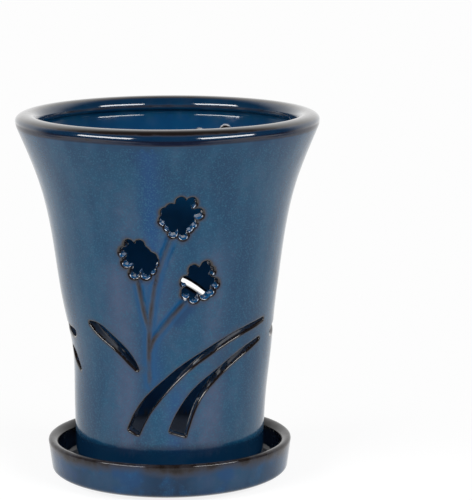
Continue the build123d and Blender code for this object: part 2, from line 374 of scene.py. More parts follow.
def evenly(outline, step):
    """A closed outline with its points spaced evenly."""
    closed = np.vstack([outline, outline[:1]])
    walked = np.concatenate([[0], np.cumsum(np.hypot(*np.diff(closed, axis=0).T))])
    count = int(round(walked[-1] / step))
    at = np.linspace(0, walked[-1], count, endpoint=False)
    return np.column_stack([np.interp(at, walked, closed[:, 0]), np.interp(at, walked, closed[:, 1])])


def softened(outline, passes):
    """A closed outline with its corners eased, as glaze eases them."""
    for _ in range(passes):
        outline = (np.roll(outline, 1, axis=0) + 2 * outline + np.roll(outline, -1, axis=0)) / 4
    return outline


class CutOut:
    """A hole through the pot's wall, drawn flat round a middle point, anticlockwise seen from outside."""

    def __init__(self, angle, z, outline):
        self.angle = OPEN_ANGLE + (angle - OPEN_ANGLE) % (2 * pi)
        self.z = z
        radius, slope = wall_curve(z)
        self.radius = radius
        self.climb = cos(np.arctan(slope))
        self.outline = outline
        self.pooled = 0.0
        self.rounding = LEAF_ROUNDING

    def on_wall(self, flat):
        """Angle and height of flat points."""
        return np.column_stack([self.angle + flat[:, 0] / self.radius, self.z + flat[:, 1] * self.climb])

    def offset(self, gap):
        """Flat points at a distance outside the outline, without those nearer to other parts of it."""
        along = np.roll(self.outline, -1, axis=0) - np.roll(self.outline, 1, axis=0)
        along /= np.hypot(*along.T)[:, None]
        points = self.outline + gap * np.column_stack([along[:, 1], -along[:, 0]])
        return points[self.flat_distance(points) > gap * 0.97]

    def flat_distance(self, points):
        """Distance of flat points from the outline, negative inside it."""
        start = self.outline
        end = np.roll(start, -1, axis=0)
        along = end - start
        away = points[:, None, :] - start
        share = np.clip((away * along).sum(2) / (along ** 2).sum(1), 0, 1)
        nearest = np.sqrt(((away - share[..., None] * along) ** 2).sum(2).min(1))
        x, y = points[:, :1], points[:, 1:]
        spans = (start[:, 1] > y) != (end[:, 1] > y)
        rise_over = np.where(along[:, 1] == 0, 1e-12, along[:, 1])
        meets = start[:, 0] + (y - start[:, 1]) * along[:, 0] / rise_over
        inside = (spans & (x < meets)).sum(1) % 2 == 1
        return np.where(inside, -nearest, nearest)

    def distance(self, places, beyond):
        """Distance of wall places from the outline, or a set value where they are beyond it."""
        across = (places[:, 0] - self.angle) * self.radius
        flat = np.column_stack([across, (places[:, 1] - self.z) / self.climb])
        low, high = self.outline.min(0) - beyond, self.outline.max(0) + beyond
        near = ((flat > low) & (flat < high)).all(1)
        found = np.full(len(places), float(beyond))
        if near.any():
            found[near] = np.minimum(self.flat_distance(flat[near]), beyond)
        return found


def flower_cut(angle, share, petals):
    """Flower hole: a round middle with round petals of different reach."""
    turn = np.radians(np.arange(0, 360, 1.0))
    reach = np.full(len(turn), FLOWER_CORE_RADIUS)
    for direction, part in petals:
        length = part * FLOWER_REACH - PETAL_RADIUS
        off = wrapped(turn - radians(direction))
        across = np.abs(length * np.sin(off))
        facing = np.abs(off) < pi / 2
        tip = length * np.cos(off) + np.sqrt(np.maximum(PETAL_RADIUS ** 2 - across ** 2, 0))
        side = PETAL_RADIUS / np.maximum(np.abs(np.sin(off)), 1e-6)
        petal = np.where(across <= PETAL_RADIUS, tip, np.where(side * np.cos(off) < length, side, 0))
        reach = np.maximum(reach, np.where(facing, petal, 0))
    outline = reach[:, None] * np.column_stack([np.cos(turn), np.sin(turn)])
    outline = softened(evenly(outline, EDGE_STEP / 2), 3)
    cut = CutOut(radians(angle), FOOT_Z + share * rise, evenly(outline, EDGE_STEP))
    cut.pooled = 1.0
    cut.rounding = FLOWER_ROUNDING
    return cut


def leaf_cut(leaf, turn, lift):
    """Leaf slot: a tapering blade along its middle line."""
    angles = np.radians([angle + turn for angle, share, width in leaf])
    heights = np.array([FOOT_Z + (share + lift) * rise for angle, share, width in leaf])
    middle_angle, middle_z = angles.mean(), heights.mean()
    cut = CutOut(middle_angle, middle_z, None)
    flat = np.column_stack([(angles - middle_angle) * cut.radius, (heights - middle_z) / cut.climb])
    widths = np.array([width * LEAF_WIDTH for angle, share, width in leaf])
    line = along_line(np.column_stack([flat, widths]), EDGE_STEP / 2)
    along = np.gradient(line[:, :2], axis=0)
    along /= np.hypot(*along.T)[:, None]
    left = np.column_stack([-along[:, 1], along[:, 0]]) * np.maximum(line[:, 2:], LEAF_TIP_WIDTH) / 2
    outline = np.vstack([line[:, :2] - left, (line[:, :2] + left)[::-1]])
    cut.outline = evenly(softened(evenly(outline, EDGE_STEP / 2), 4), EDGE_STEP)
    return cut


cut_outs = [flower_cut(*flower) for flower in FLOWERS] + [leaf_cut(*place) for place in LEAF_PLACES]
NOTHING_NEAR = 12.0


def cut_distance(places):
    """Distance of wall places from the nearest cut edge, negative inside a cut."""
    return np.min([cut.distance(places, NOTHING_NEAR) for cut in cut_outs], axis=0)


def below_cut(places, gap):
    """How squarely each place lies below the nearest cut."""
    nudge = np.array([0.0, NUDGE])
    slope = (cut_distance(places - nudge) - cut_distance(places + nudge)) / (2 * NUDGE)
    return np.where(gap < NOTHING_NEAR - 1, np.clip(slope, 0, 1), 0.0)


def eased(distance, rounding):
    """How far a rounded edge drops below the face at a distance from the cut."""
    inside = np.clip(rounding - distance, 0, rounding)
    return rounding - np.sqrt(np.maximum(rounding ** 2 - inside ** 2, 0))


def stem_lines(step):
    """Angle and height along every stem, turned round the pot to each spray."""
    lines = []
    for stems, turn, lift in STEM_PLACES:
        for stem in stems:
            flat = [(radians(angle) * FLAT_RADIUS, FOOT_Z + (share + lift) * rise) for angle, share in stem]
            line = along_line(flat, step)
            lines.append(np.column_stack([line[:, 0] / FLAT_RADIUS + radians(turn), line[:, 1]]))
    return lines


def pooled_patch(places):
    """How far glaze has run together beside the right-hand stem."""
    start, end = [np.array([radians(angle), FOOT_Z + share * rise]) for angle, share in POOL_PATCH]
    scale = np.array([wall_curve(start[1])[0], 1.0])
    off = places - start
    off[:, 0] = wrapped(off[:, 0])
    off *= scale
    along = (end - start) * scale
    share = np.clip(off @ along / (along @ along), 0, 1)
    away = np.hypot(*(off - share[:, None] * along).T)
    return np.clip(1.5 - away / POOL_REACH, 0, 1)


def runs(places, table):
    """How strongly the runs in a table cover each place: glaze runs, and in the grey table a painted sheen.
    """
    up = (places[:, 1] - FOOT_Z) / rise
    cover = np.zeros(len(places))
    for angle, spread, foot, top, strength in table:
        off = wrapped(places[:, 0] - radians(angle))
        beyond = np.maximum(np.maximum(foot - up, up - top), 0) / RUN_FADE
        cover = np.maximum(cover, strength * bell(off / radians(spread)) * bell(beyond))
    return cover


def settled(points):
    """Points moved sideways with the wall where it sank at its slots."""
    away = points[:, 2] - SAG_Z
    fade = away / np.where(away < 0, SAG_BELOW, SAG_ABOVE)
    return points + np.outer(SAG * bell(fade), (1, 0, 0))


def flat_sheet(top_z, spacing, offsets, outside, more_places):
    """The wall's outer or inner face up to a height, opened flat and triangulated round its cuts.

    Offsets are rings of points round each cut, in roundings of its edge.
    """
    turns = OPEN_ANGLE + np.linspace(0, 2 * pi, TURN_STEPS + 1)
    rungs = np.linspace(sheet_low_z, top_z, int((top_z - sheet_low_z) / spacing) + 1)[1:-1]
    border = np.vstack([
        np.column_stack([turns, np.full(len(turns), sheet_low_z)]),
        np.column_stack([np.full(len(rungs), turns[-1]), rungs]),
        np.column_stack([turns[::-1], np.full(len(turns), top_z)]),
        np.column_stack([np.full(len(rungs), turns[0]), rungs[::-1]])])
    places = [border]
    loops = [np.arange(len(border))]
    filled = len(border)
    for cut in cut_outs:
        places.append(cut.on_wall(cut.outline))
        loops.append(filled + np.arange(len(cut.outline)))
        filled += len(cut.outline)
    rings = [cut.on_wall(cut.offset(gap * (cut.rounding if outside else INNER_ROUNDING)))
             for cut in cut_outs for gap in offsets]
    loose = list(more_places)
    row_step = spacing * sin(pi / 3)
    column_step = spacing / FLAT_RADIUS
    for row, z in enumerate(np.arange(sheet_low_z + row_step, top_z - row_step / 2, row_step)):
        start = OPEN_ANGLE + column_step * (0.5 + 0.5 * (row % 2))
        angles = np.arange(start, OPEN_ANGLE + 2 * pi - column_step / 2, column_step)
        loose.append(np.column_stack([angles, np.full(len(angles), z)]))
    loose = np.vstack(loose)
    widest = offsets[-1] * (FLOWER_ROUNDING if outside else INNER_ROUNDING)
    fill = np.vstack(rings + [loose[cut_distance(loose) > widest + spacing / 3]])
    fill = fill[(fill[:, 1] > sheet_low_z + BORDER_GAP) & (fill[:, 1] < top_z - BORDER_GAP)]
    flat = np.vstack(places + [fill]) * (FLAT_RADIUS, 1)
    edges = [(int(a), int(b)) for loop in loops for a, b in zip(loop, np.roll(loop, -1))]
    spots, _, corners, *_ = delaunay_2d_cdt([Vector(p) for p in flat], edges, [], 0, FLAT_TOGETHER)
    found = np.array([tuple(spot) for spot in spots]) / (FLAT_RADIUS, 1)
    triangles = np.array(corners)
    middles = found[triangles].mean(1)
    return found, triangles[cut_distance(middles) > 0]


# What is kept on each point of the pot: how thin or pooled its glaze is, how pale it is with painted light,
# the painted light inside, its darker glaze with painted shade, the painted shade on its lip,
# its grey runs with a painted sheen, its blue runs, its specks and its gloss
COATS = ("thin", "pool", "pale", "inner", "dark", "ink", "grey", "blue", "specks", "gloss")


class Shell:
    """Collects the pot's patches of points and faces, and how the glaze lies on each point."""

    def __init__(self):
        self.points = []
        self.faces = []
        self.coats = []
        self.count = 0

    def add(self, points, faces, **coat):
        self.points.append(points)
        self.faces += [tuple(int(i) + self.count for i in face) for face in faces]
        parts = [np.broadcast_to(coat.get(name, 0.0), len(points)) for name in COATS]
        self.coats.append(np.column_stack(parts))
        self.count += len(points)

    def turn(self, outline_at, **coat):
        """A turned band from an outline of radius and height at each angle, with the solid on its left."""
        outlines = np.array([outline_at(turn) for turn in band_turns])
        rows = outlines.shape[1]
        radius, height = outlines[:, :, 0], outlines[:, :, 1]
        sines, cosines = np.sin(band_turns)[:, None], np.cos(band_turns)[:, None]
        points = np.stack([sines * radius, -cosines * radius, height], axis=2)
        points[:, :, 2] += self.notches(radius[0], height[0])
        faces = []
        for i in range(TURN_STEPS):
            here, there = i * rows, (i + 1) % TURN_STEPS * rows
            faces += [(here + j, there + j, there + j + 1, here + j + 1) for j in range(rows - 1)]
        spread = {name: np.broadcast_to(part, radius.shape).ravel() for name, part in coat.items()}
        self.add(points.reshape(-1, 3), faces, **spread)

    def notches(self, radius, height):
        """Lift of the sole where water notches cross the foot ring."""
        pitch = 2 * pi / FOOT_NOTCHES
        off = np.abs((band_turns - pi / 2 + pitch / 2) % pitch - pitch / 2) * FOOT_RADIUS
        opened = np.clip((FOOT_NOTCH_WIDTH / 2 + FOOT_NOTCH_EDGE - off) / (2 * FOOT_NOTCH_EDGE), 0, 1)
        on_ring = radius > FOOT_RADIUS - FOOT_RING_WIDTH - NUDGE
        sole = np.clip(1 - (height - FOOT_Z) / (2 * NUDGE), 0, 1) * on_ring
        return np.outer(opened, sole) * FOOT_NOTCH_HEIGHT


def arc(middle, wide, tall, start, end, steps):
    """Points on an arc of an ellipse, as radius and height."""
    turn = np.radians(np.linspace(start, end, steps))
    return np.column_stack([middle[0] + wide * np.cos(turn), middle[1] + tall * np.sin(turn)])


def easing(start, start_way, end, end_way, steps):
    """Points on a smooth bend from one point to another that leaves and arrives in set directions."""
    start, end = np.array(start), np.array(end)
    reach = np.hypot(*(end - start))
    out, back = np.array(start_way) * reach, np.array(end_way) * reach
    t = np.linspace(0, 1, steps)[:, None]
    return ((1 + 2 * t) * (1 - t) ** 2 * start + t * (1 - t) ** 2 * out
            + t ** 2 * (3 - 2 * t) * end + t ** 2 * (t - 1) * back)


def level(start, end, height, steps):
    """Points along a level run of radius, without the first."""
    return np.column_stack([np.linspace(start, end, steps)[1:], np.full(steps - 1, height)])


def lip_band(shell):
    """Rolled lip, from the top of the wall outside, over the crest, to the top of the wall inside."""
    radius, slope = wall_curve(sheet_top_z)
    lean = np.arctan(slope)
    up = (sin(lean), cos(lean))
    inside, down = inner_face(inner_top_z)
    roll_z = TOP_Z - LIP_ROLL
    half = LIP_THICKNESS / 2
    middle_r = RIM_RADIUS - half
    below_steps, face_steps, roll_steps, under_steps, hollow_steps = LIP_STEPS
    roll = arc((middle_r, roll_z), half, LIP_ROLL, 90, 180, roll_steps)
    under_wide, under_tall = LIP_UNDERCUT
    under_r = RIM_RADIUS - LIP_THICKNESS + under_wide
    under = arc((under_r, roll_z), under_wide, under_tall, 180, 255, under_steps)
    way = (under[-1] - under[-2]) / np.hypot(*(under[-1] - under[-2]))
    hollow = easing(under[-1], way, inside, down, hollow_steps)

    def outline_at(turn):
        off = wrapped(turn - radians(LIP_SAG_ANGLE))
        front = bell(off / radians(WIDEST_SAG_SPREAD))
        widest_z = TOP_Z - LIP_CROWN - WIDEST_SAG * front
        bend_z = LIP_BEND_Z - BEND_SAG * bell(off / radians(BEND_SAG_SPREAD))
        bend_z = min(bend_z, widest_z - LIP_FACE_LEAST)
        face_r = RIM_RADIUS - LIP_FACE_SLANT
        smooth_r = min(radius + slope * (bend_z - sheet_top_z), face_r)
        bend_r = smooth_r + (face_r - smooth_r) * front
        lean_away, lean_front = LIP_FACE_LEANS
        face_way = (lean_away + (lean_front - lean_away) * front, 1)
        below = easing((radius, sheet_top_z), up, (bend_r, bend_z), face_way, below_steps)
        face = easing((bend_r, bend_z), face_way, (RIM_RADIUS, widest_z), (0, 1), face_steps)
        crown = arc((middle_r, widest_z), half, TOP_Z - widest_z, 0, 90, roll_steps)
        return np.vstack([below, face[1:], crown[1:], roll[1:], under[1:], hollow[1:]])

    place = np.concatenate([
        np.linspace(-2, -1, below_steps), np.linspace(-1, 0, face_steps)[1:],
        np.linspace(0, 0.5, roll_steps)[1:], np.linspace(0.5, 1, roll_steps)[1:],
        np.linspace(1, 1.15, under_steps)[1:], np.linspace(1.15, 1.3, hollow_steps)[1:]])
    thin = read_off(LIP_THIN, place)
    middle = bell(wrapped(band_turns - radians(LIP_SAG_ANGLE)) / radians(BEND_SAG_SPREAD))
    at_front = np.clip(np.cos(band_turns) * 2.0 - 0.6, 0, 1) * (1 - LIP_LINE_BREAK * middle)
    thin = np.where(place < LIP_LINE_END, thin * at_front[:, None], thin)
    # The lip's glaze, with painted shade over its face
    shell.turn(outline_at, thin=thin, dark=read_off(LIP_DARK, place), ink=read_off(LIP_SHADE, place),
               gloss=read_off(LIP_GLOSS, place))


def foot_band(shell):
    """Floor inside, drain, underside and foot, back to the bottom of the wall outside."""
    inside, down = inner_face(sheet_low_z)
    floor_z = FOOT_Z + POT_FLOOR
    recess_z = FOOT_Z + FOOT_RING_HEIGHT
    ring_r = FOOT_RADIUS - FOOT_RING_WIDTH
    bend_r = inside[0] - FLOOR_ROUNDING - FLOOR_EASE
    soft = DRAIN_ROUNDING
    drain_r = DRAIN_RADIUS + soft
    sole_r = FOOT_RADIUS - FOOT_ROUNDING
    upper, lower = FOOT_RING_EDGES
    bend = easing(inside, down, (bend_r, floor_z), (-1, 0), 10)
    floor = np.vstack([bend, level(bend_r, drain_r, floor_z, 8)[:-1]])
    outline = np.vstack([
        floor,
        arc((drain_r, floor_z - soft), soft, soft, 90, 180, 6),
        arc((drain_r, recess_z + soft), soft, soft, 180, 270, 6),
        level(drain_r, ring_r - upper, recess_z, 7),
        [(ring_r, recess_z - upper), (ring_r, FOOT_Z + lower), (ring_r + lower, FOOT_Z)],
        level(ring_r + lower, sole_r, FOOT_Z, 5),
        arc((sole_r, FOOT_Z + FOOT_ROUNDING), FOOT_ROUNDING, FOOT_ROUNDING, 270, 360, 7)[1:]])
    heights = np.linspace(FOOT_Z + FOOT_ROUNDING, sheet_low_z, 8)[1:]
    outline = np.vstack([outline, np.column_stack([wall_curve(heights)[0], heights])])
    thin = np.where(outline[:, 1] < recess_z + NUDGE, 1.0, 0.0)
    on_floor = np.arange(len(outline)) < len(floor)
    # The floor inside is pale, partly with painted light
    pale = np.where(on_floor, read_off(FLOOR_PALE, outline[:, 1] - floor_z), 0.0)
    # Painted shade under the pot and low on its wall outside, not on the floor inside
    dark = np.where(on_floor, 0.0, UNDER_SHADE)
    shell.turn(lambda turn: outline, thin=thin, pale=pale, dark=dark)


def stem_strips():
    """Wall places in rows along both sides of every stem, to give its ridge enough points."""
    strips = []
    for line in stem_lines(STEM_STEP):
        along = np.gradient(line * (FLAT_RADIUS, 1), axis=0)
        along /= np.hypot(*along.T)[:, None]
        across = np.column_stack([-along[:, 1], along[:, 0]]) / (FLAT_RADIUS, 1)
        strip = np.vstack([line + across * off for off in np.linspace(-STEM_REACH, STEM_REACH, STEM_ROWS)])
        strip[:, 0] = OPEN_ANGLE + (strip[:, 0] - OPEN_ANGLE) % (2 * pi)
        strips.append(strip)
    return strips


def outer_wall(shell):
    """The wall's outer face, with rounded cut edges where the glaze is thin and pools."""
    places, triangles = flat_sheet(sheet_top_z, WALL_STEP, OUTER_RINGS, True, stem_strips())
    gap = np.maximum(cut_distance(places), 0)
    around = [cut.pooled * (cut.distance(places, NOTHING_NEAR) < FLOWER_AROUND) for cut in cut_outs]
    in_flower = np.max(around, axis=0)
    rounding = LEAF_ROUNDING + (FLOWER_ROUNDING - LEAF_ROUNDING) * in_flower
    below = below_cut(places, gap)
    pool = read_off(EDGE_POOL, gap) * read_off(POOL_BELOW, below) * in_flower
    brown_width = (BROWN_WIDTH + BROWN_WIDER_BELOW * below) * rounding / FLOWER_ROUNDING
    edge = read_off(EDGE_BROWN, gap / brown_width)
    patch = pooled_patch(places)
    # Painted shade on the wall's foot, down where it stands in the saucer
    shade_z = SHADED_FOOT + SHADED_FOOT_RISE * np.clip(np.cos(places[:, 0]), 0, 1) ** 2
    dark = read_off(FOOT_SHADE, places[:, 1] - shade_z)
    # The grey runs include a painted sheen of the soft boxes
    shell.add(wall_points(places[:, 0], places[:, 1], eased(gap, rounding)), triangles,
              thin=np.maximum(edge, read_off(EDGE_HALO, gap)) * (1 - pool),
              pool=np.maximum(pool, patch * PATCH_POOL), dark=np.maximum(dark, patch * PATCH_DARK),
              grey=runs(places, GREY_RUNS_AND_SHEEN), blue=np.maximum(runs(places, BLUE_RUNS), patch),
              specks=1 - np.maximum(dark, patch), gloss=read_off(EDGE_GLOSS, gap / rounding))


def inner_wall(shell):
    """The wall's inner face, made lighter and bluer low down by painted light."""
    places, triangles = flat_sheet(inner_top_z, INNER_STEP, INNER_RINGS, False, [])
    gap = np.maximum(cut_distance(places), 0)
    depth = wall_depth(places[:, 1]) - eased(gap, INNER_ROUNDING)
    up = (places[:, 1] - FOOT_Z) / rise
    top = (inner_top_z - FOOT_Z) / rise
    # Painted light low inside: paler and a brighter blue
    shell.add(wall_points(places[:, 0], places[:, 1], depth), triangles[:, ::-1],
              thin=read_off(INNER_EDGE_THIN, gap), pale=read_off(INNER_PALE_LIGHT, up),
              inner=read_off(INNER_LIGHT, up), blue=INNER_BLUE_RUNS,
              dark=np.interp(up, [INNER_DARK_FROM, top], [0.0, INNER_DARK_TOP]),
              gloss=read_off(INNER_GLOSS, places[:, 1] - inner_top_z))


def cut_sides(shell):
    """The sides of every cut through the wall. Glaze pools on those of a flower that face up."""
    for cut in cut_outs:
        edge = cut.on_wall(cut.outline)
        count = len(edge)
        deepest = wall_depth(edge[:, 1]) - INNER_ROUNDING
        rings = [cut.rounding + (deepest - cut.rounding) * share for share in CUT_SHARES]
        points = np.vstack([wall_points(edge[:, 0], edge[:, 1], ring) for ring in rings])
        faces = []
        for ring in range(len(rings) - 1):
            for i in range(count):
                j = (i + 1) % count
                top, bottom = ring * count, (ring + 1) * count
                faces.append((top + i, top + j, bottom + j, bottom + i))
        along = np.roll(cut.outline, -1, axis=0) - np.roll(cut.outline, 1, axis=0)
        upward = np.clip(along[:, 0] / np.hypot(*along.T) * 1.5, 0, 1) * cut.pooled
        leaf_thin, flower_thin = SIDE_THIN
        thin = (leaf_thin + (flower_thin - leaf_thin) * cut.pooled) * (1 - upward)
        shell.add(points, faces, thin=np.tile(thin, len(rings)), pool=np.tile(upward, len(rings)),
                  dark=SIDE_DARK, gloss=SIDE_GLOSS)


def make_pot_mesh():
    """The whole pot as one closed mesh, with how its glaze lies on every point."""
    shell = Shell()
    outer_wall(shell)
    inner_wall(shell)
    cut_sides(shell)
    lip_band(shell)
    foot_band(shell)
    mesh = bpy.data.meshes.new("pot_body")
    mesh.from_pydata((settled(np.vstack(shell.points)) * MM).tolist(), [], shell.faces)
    for name, values in zip(COATS, np.vstack(shell.coats).T):
        attribute = mesh.attributes.new(name, "FLOAT", "POINT")
        attribute.data.foreach_set("value", values.astype(np.float32))
    work = bmesh.new()
    work.from_mesh(mesh)
    bmesh.ops.remove_doubles(work, verts=work.verts, dist=TOGETHER * MM)
    work.to_mesh(mesh)
    work.free()
    mesh.shade_smooth()
    return mesh


class Wire:
    """A node's output, so that node maths reads as plain expressions."""

    def __init__(self, board, socket):
        self.board = board
        self.socket = socket

    def math(self, operation, first, second):
        return self.board.node("ShaderNodeMath", {"operation": operation}, {0: first, 1: second})

    def __add__(self, other):
        return self.math("ADD", self, other)

    def __radd__(self, other):
        return self.math("ADD", other, self)

    def __sub__(self, other):
        return self.math("SUBTRACT", self, other)

    def __rsub__(self, other):
        return self.math("SUBTRACT", other, self)

    def __mul__(self, other):
        return self.math("MULTIPLY", self, other)

    def __rmul__(self, other):
        return self.math("MULTIPLY", other, self)

    def __truediv__(self, other):
        return self.math("DIVIDE", self, other)


class Board:
    """A node tree and the one way nodes are added to it."""

    def __init__(self, tree):
        self.tree = tree
        tree.nodes.clear()

    def node(self, kind, settings, inputs, out=0):
        """Adds a node with its settings, and with values or wires for its inputs."""
        made = self.tree.nodes.new(kind)
        for name, value in settings.items():
            setattr(made, name, value)
        for key, value in inputs.items():
            if isinstance(value, Wire):
                self.tree.links.new(value.socket, made.inputs[key])
            else:
                made.inputs[key].default_value = value
        return Wire(self, made.outputs[out]) if made.outputs else made

    def smooth(self, value, low, high):
        """0 below low, 1 above high, and a smooth rise between."""
        return self.node("ShaderNodeMapRange", {"interpolation_type": "SMOOTHSTEP"},
                         {"Value": value, "From Min": low, "From Max": high})

    def mix(self, share, first, second):
        """Colour between two colours. Sockets go by number here, because their names repeat."""
        return self.node("ShaderNodeMix", {"data_type": "RGBA"}, {0: share, 6: first, 7: second}, out=2)

    def noise(self, place, scale, detail, rough=0.5):
        return self.node("ShaderNodeTexNoise", {}, {"Vector": place, "Scale": scale, "Detail": detail,
                                                    "Roughness": rough})

    def largest(self, first, second):
        return self.node("ShaderNodeMath", {"operation": "MAXIMUM"}, {0: first, 1: second})

    def attribute(self, name):
        return self.node("ShaderNodeAttribute", {"attribute_name": name}, {}, out="Fac")

    def axis(self, vector, name):
        """One of a vector's parts, X, Y or Z."""
        return self.node("ShaderNodeSeparateXYZ", {}, {"Vector": vector}, out=name)

    def length(self, vector):
        return self.node("ShaderNodeVectorMath", {"operation": "LENGTH"}, {0: vector}, out="Value")


def colour(red, green, blue):
    return (red, green, blue, 1.0)


def grey(level):
    return colour(level, level, level)


# Glaze colours, and the colours of painted shade, light and sheen, in linear light
DEEP_BLUE = colour(0.0022, 0.0330, 0.0820)
SEA_BLUE = colour(0.0030, 0.0470, 0.1020)
# Darker glaze, and painted shade on the foot, the lip's face and the middle of the saucer's front
DARK_AND_SHADED_BLUE = colour(0.0020, 0.0120, 0.0340)
RUN_BLUE = colour(0.0020, 0.0400, 0.1250)
# Grey of glaze runs, and of painted sheen on the pot's wall and painted reflection on the saucer
RUN_AND_SHEEN_GREY = colour(0.0420, 0.0620, 0.1150)
POOLED_BLUE = colour(0.0025, 0.0480, 0.1300)
FLECK = colour(0.0150, 0.0900, 0.1500)
THIN_MAUVE = colour(0.0240, 0.0320, 0.0520)
THIN_BROWN = colour(0.0240, 0.0170, 0.0130)
DARK_BROWN = colour(0.0080, 0.0056, 0.0052)
# Paleness with painted light, on the pot's floor, low inside the pot and inside the saucer
PALE_AND_LIT_BLUE = colour(0.4500, 0.5000, 0.5800)
# Painted light: a brighter blue low inside the pot
INNER_LIT_BLUE = colour(0.0150, 0.1900, 0.4800)
# Painted shade on the lip's face
LIP_SHADE_BLUE = colour(0.0060, 0.0070, 0.0180)

# How fine the glaze's patterns are, and how far its streaks are drawn out down the wall
STREAK_SCALE = 75.0
STREAK_DRAW = (1.0, 1.0, 0.2)
MOTTLE_SCALE = 190.0
GRAIN_SCALE = 1300.0
RIPPLE_SCALE = 95.0
STEM_BREAK_SCALE = 85.0
UNEVEN_SCALE = 60.0
CLOUD_SCALE = 110.0
# Where each pattern starts to show and shows fully, and how strongly
STREAK_SPAN = (0.35, 0.65)
GREYED_SPAN = (0.95, 1.25)
GREYED_SHARE = 0.2
FLECK_SPAN = (0.5, 0.68)
FLECK_SHARE = 0.55
# Thin glaze breaks into other colours: how unevenly, and where each starts to show and shows fully
MAUVE_BREAK = (0.5, 0.08, 0.6)
MAUVE_SHARE = 0.75
BROWN_BREAK = (0.6, 0.45, 0.95)
DARK_BROWN_BREAK = (0.8, 0.65, 1.0)
# Stems: where their glaze starts to break and is broken, how thin it is, how much thinner where broken,
# and how far it pools beside them
STEM_BREAK_SPAN = (0.38, 0.6)
STEM_THIN = 0.55
STEM_THINNER = 0.3
STEM_POOL = 0.9
# Ripples in the glaze's surface: their strength, their depth in metres, and the grain's share of it
RIPPLE_STRENGTH = 0.25
RIPPLE_DEPTH = 0.0006
GRAIN_SHARE = 0.03
# The least roughness, and how much the mottle adds
ROUGHNESS = 0.07
MOTTLE_ROUGHNESS = 0.06
POT_IOR = 1.38
SAUCER_IOR = 1.33
GLOSS_ROUGHNESS = 0.05
GLOSS_IOR = 1.5

# The saucer's glaze, with painted shade in the middle of the front and a painted sheen at the flanks
# and inside, each from where it starts to change to where it has changed, in millimetres: aside from
# the middle of the front, past the flanks, out from the inner wall, up from the table, up to the rim
SAUCER_SHADED_MIDDLE = (6.0, 18.0)
SAUCER_FLANKS = (30.0, 46.0)
SAUCER_SHEEN_INSIDE = (-0.5, 2.0)
SAUCER_ABOVE = (4.0, 5.0)
SAUCER_FOOT_DARK = (4.0, 16.0)
SAUCER_RIM_THIN = (-6.4, 1.6)


def glaze(name, coat_of):
    """Deep blue glaze that runs down, breaks brown where it is thin and pools bright blue in hollows."""
    material = bpy.data.materials.new(name)
    material.use_nodes = True
    board = Board(material.node_tree)
    place = board.node("ShaderNodeTexCoord", {}, {}, out="Object")
    drawn_out = board.node("ShaderNodeMapping", {}, {"Vector": place, "Scale": STREAK_DRAW})
    streaks = board.noise(drawn_out, STREAK_SCALE, 2.0)
    mottle = board.noise(place, MOTTLE_SCALE, 4.0, 0.6)
    grain = board.noise(place, GRAIN_SCALE, 1.0)
    coat = coat_of(board, place)
    thin = coat["thin"]

    def breaking(uneven, low, high):
        return board.smooth(thin + (mottle - 0.5) * uneven, low, high)

    # Blue glaze in streaks, with runs over it, the grey runs partly a painted sheen
    tint = board.mix(board.smooth(streaks, *STREAK_SPAN), DEEP_BLUE, SEA_BLUE)
    greyed_and_sheen = board.smooth(mottle + streaks, *GREYED_SPAN) * GREYED_SHARE + coat["grey"] * (0.4 + mottle)
    tint = board.mix(greyed_and_sheen, tint, RUN_AND_SHEEN_GREY)
    tint = board.mix(coat["blue"], tint, RUN_BLUE)
    # Where it lies thick or dark with painted shade, the lip's painted shade, specks, pools, paleness with
    # painted light, and the painted light inside
    tint = board.mix(coat["dark"], tint, DARK_AND_SHADED_BLUE)
    tint = board.mix(coat["ink"], tint, LIP_SHADE_BLUE)
    tint = board.mix(board.smooth(grain, *FLECK_SPAN) * coat["specks"] * FLECK_SHARE, tint, FLECK)
    tint = board.mix(coat["pool"], tint, POOLED_BLUE)
    tint = board.mix(coat["pale"], tint, PALE_AND_LIT_BLUE)
    tint = board.mix(coat["inner"], tint, INNER_LIT_BLUE)
    # Where it is thin, it goes mauve and then brown
    tint = board.mix(breaking(*MAUVE_BREAK) * MAUVE_SHARE, tint, THIN_MAUVE)
    brown = board.mix(breaking(*DARK_BROWN_BREAK), THIN_BROWN, DARK_BROWN)
    tint = board.mix(breaking(*BROWN_BREAK), tint, brown)
    ripple = board.noise(place, RIPPLE_SCALE, 2.0)
    bump = board.node("ShaderNodeBump", {}, {"Strength": RIPPLE_STRENGTH, "Distance": RIPPLE_DEPTH,
                                             "Height": ripple + grain * GRAIN_SHARE})
    surface = board.node("ShaderNodeBsdfPrincipled", {}, {
        "Base Color": tint, "Roughness": ROUGHNESS + mottle * MOTTLE_ROUGHNESS, "IOR": coat["ior"],
        "Normal": bump, "Coat Weight": coat["gloss"], "Coat Roughness": GLOSS_ROUGHNESS,
        "Coat IOR": GLOSS_IOR})
    board.node("ShaderNodeOutputMaterial", {}, {"Surface": surface})
    return material


def pot_coat(board, place):
    """How the pot's glaze and painted shade, light and sheen lie, as kept on its points, with the stems."""
    coat = {name: board.attribute(name) for name in COATS}
    coat["ior"] = POT_IOR
    broken = board.smooth(board.noise(place, STEM_BREAK_SCALE, 1.0), *STEM_BREAK_SPAN)
    stem_thin = board.attribute("stem_crest") * (STEM_THIN + broken * STEM_THINNER)
    coat["thin"] = board.largest(coat["thin"], stem_thin)
    coat["pool"] = board.largest(coat["pool"], board.attribute("stem_pool") * STEM_POOL)
    return coat


